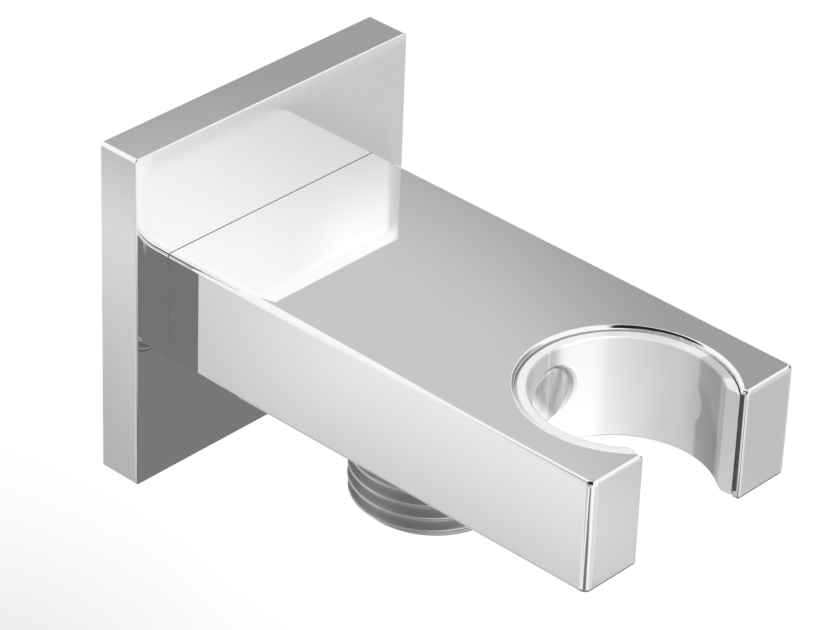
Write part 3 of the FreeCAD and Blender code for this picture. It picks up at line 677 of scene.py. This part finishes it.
def cut_thread_off(b, axis_point, axis, start, end):
    """Takes the thread's outer faces off, and draws the rim that they leave in to the root."""
    low, high = min(start, end) - THREAD_SLACK, max(start, end) + THREAD_SLACK

    def placed(vertex):
        """How far along the axis the vertex lies, and its offset from the axis."""
        offset = vertex.co - axis_point
        along = offset.dot(axis)
        return along, offset - axis * along

    def is_outer(vertex):
        along, outward = placed(vertex)
        in_depth = THREAD_ROOT - THREAD_SLACK < outward.length < THREAD_RADIUS + THREAD_SLACK
        return in_depth and low < along < high

    gone = [face for face in b.faces if all(is_outer(vertex) for vertex in face.verts)]
    bmesh.ops.delete(b, geom=gone, context="FACES")
    for vertex in b.verts:
        along, outward = placed(vertex)
        if abs(along - start) < THREAD_SLACK and abs(outward.length - THREAD_RADIUS) < THREAD_SLACK:
            vertex.co = axis_point + axis * along + outward.normalized() * THREAD_ROOT


def add_helix(b, axis_point, axis, crest, start, end):
    """Adds the thread, which runs out at its start and is chamfered at its end."""
    across = Vector((1, 0, 0))
    side = axis.cross(across)
    low, high = min(start, end), max(start, end)
    profile = thread_profile()
    steps = int(round((high - low) / THREAD_PITCH * THREAD_PITCH_STEPS))
    rows = []
    for i in range(steps + 1):
        along = low + (high - low) * i / steps
        run_out = max(0.0, 1.0 - abs(along - start) / THREAD_RUN_OUT)
        chamfer = THREAD_ROOT + abs(end - along)
        row = []
        for j in range(THREAD_TURN_STEPS):
            turn = j / THREAD_TURN_STEPS
            angle = 2 * math.pi * turn
            radius = min(thread_radius(profile, along, turn, crest, run_out), chamfer)
            offset = across * math.cos(angle) + side * math.sin(angle)
            row.append(b.verts.new(axis_point + axis * along + offset * radius))
        rows.append(row)
    for lower, upper in zip(rows, rows[1:]):
        for j in range(THREAD_TURN_STEPS):
            k = (j + 1) % THREAD_TURN_STEPS
            face = b.faces.new((lower[j], lower[k], upper[k], upper[j]))
            face.smooth = True


def threaded(node, name, axis_point, axis, crest, start, end, material):
    """The CAD piece with its thread, ridges or a plain cylinder, swapped for a helix of the same diameter."""
    mesh = nodes[node].data.copy()
    mesh.name = name
    b = bmesh.new()
    b.from_mesh(mesh)
    cut_thread_off(b, axis_point, axis, start, end)
    add_helix(b, axis_point, axis, crest, start, end)
    b.to_mesh(mesh)
    b.free()
    piece = bpy.data.objects.new(name, mesh)
    bpy.context.scene.collection.objects.link(piece)
    mesh.materials.clear()
    mesh.materials.append(material)
    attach(piece, "holder")
    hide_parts(node)


def compressing_spring(material):
    """The valve's coil spring: a copy of the CAD spring in the given material, put in place of it."""
    spring = bpy.data.objects.new("valve_spring_coil", nodes["valve_spring"].data.copy())
    bpy.context.scene.collection.objects.link(spring)
    spring.data.materials.clear()
    spring.data.materials.append(material)
    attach(spring, "holder")
    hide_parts("valve_spring")
    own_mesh(spring)


make_camera()
make_world()
make_key()
make_floor()

looks = {
    "chrome": polished_metal("chrome_look", CHROME, roughness=0.035, waviness=0.004 * MM),
    "brass": polished_metal("brass_look", BRASS, roughness=0.16, waviness=0.002 * MM),
    "steel": polished_metal("steel_look", STEEL, roughness=0.22, waviness=0.002 * MM),
    "spring_steel": polished_metal("spring_look", SPRING_STEEL, roughness=0.18, waviness=0.001 * MM),
    "seal_rubber": moulded_plastic(
        "seal_rubber_look", SEAL_RUBBER, roughness=0.55, grain=1800.0, depth=0.01 * MM,
    ),
    "foam_rubber": moulded_plastic(
        "foam_rubber_look", FOAM_RUBBER, roughness=0.9, grain=3200.0, depth=0.08 * MM,
    ),
    "valve_plastic": moulded_plastic(
        "valve_plastic_look", VALVE_PLASTIC, roughness=0.38, grain=1500.0, depth=0.004 * MM,
    ),
    "poppet_plastic": moulded_plastic(
        "poppet_plastic_look", POPPET_PLASTIC, roughness=0.36, grain=1500.0, depth=0.004 * MM,
    ),
    "clear_plastic": clear_plastic(),
}

# The frame names each node's material after its slot
for node in nodes.values():
    for used in node.material_slots:
        used.material = looks[used.material.name.split(".")[0]]
nodes["wall_plate"].material_slots[0].material = polished_metal(
    "plate_chrome_look", CHROME, roughness=0.03, waviness=0.004 * MM, worn=buffed_height,
)
nodes["arm"].material_slots[0].material = polished_metal(
    "arm_chrome_look", CHROME, roughness=0.03, waviness=0.004 * MM, worn=rolled_height,
    joint_from=plate_low.y - JOINT_GAP,
)
nodes["liner_stud"].material_slots[0].material = stud_metal()

threaded(
    "hose_nipple", "hose_nipple_threaded", axis_point=Vector((0, OUTLET_Y, 0)), axis=UP,
    crest=HOSE_CREST_Z, start=ARM_BOTTOM, end=OUTLET_END, material=thread_metal(),
)
threaded(
    "wall_nipple", "wall_nipple_threaded", axis_point=Vector((0, 0, 0)), axis=INTO_WALL,
    crest=WALL_CREST_Y, start=WALL_THREAD_START, end=WALL_NIPPLE_END, material=looks["brass"],
)
compressing_spring(looks["spring_steel"])

bpy.context.scene.view_settings.view_transform = "Standard"
